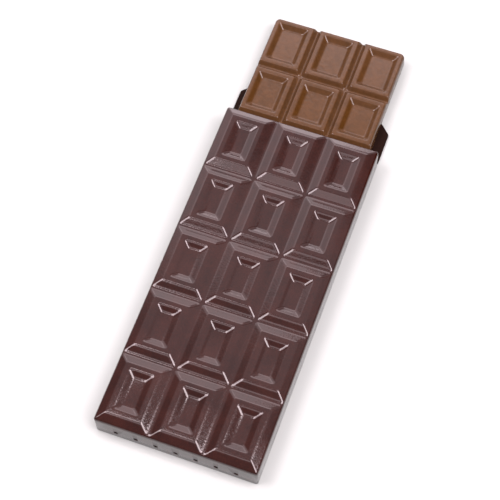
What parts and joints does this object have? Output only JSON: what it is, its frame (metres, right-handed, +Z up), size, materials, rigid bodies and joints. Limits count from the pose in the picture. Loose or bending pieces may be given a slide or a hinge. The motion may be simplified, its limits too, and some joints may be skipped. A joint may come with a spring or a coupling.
{
  "type": "milk chocolate slab in a plastic case shaped as a dark chocolate bar",
  "caption": "Milk chocolate slab drawn part-way out of a flat glossy plastic case moulded as a dark chocolate bar, with vent holes in its closed end and a tongue under its open mouth.",
  "frame": {"origin": "middle of the whole's footprint, on the surface that the case lies on", "axes": "+X across the case, +Y along it out of the open mouth, +Z up from the surface"},
  "size_m": [0.08, 0.24, 0.0162],
  "materials": {
    "dark_gloss_plastic": "gloss injection-moulded plastic with a fine orange-peel grain, dark chocolate brown",
    "black_brown_plastic": "satin injection-moulded plastic, near-black brown",
    "milk_chocolate": "tempered milk chocolate with a soft satin bloom"
  },
  "bodies": {
    "root": {"case_cover": "dark_gloss_plastic", "case_back": "black_brown_plastic", "milk_slab": "milk_chocolate"}
  },
  "joints": []
}
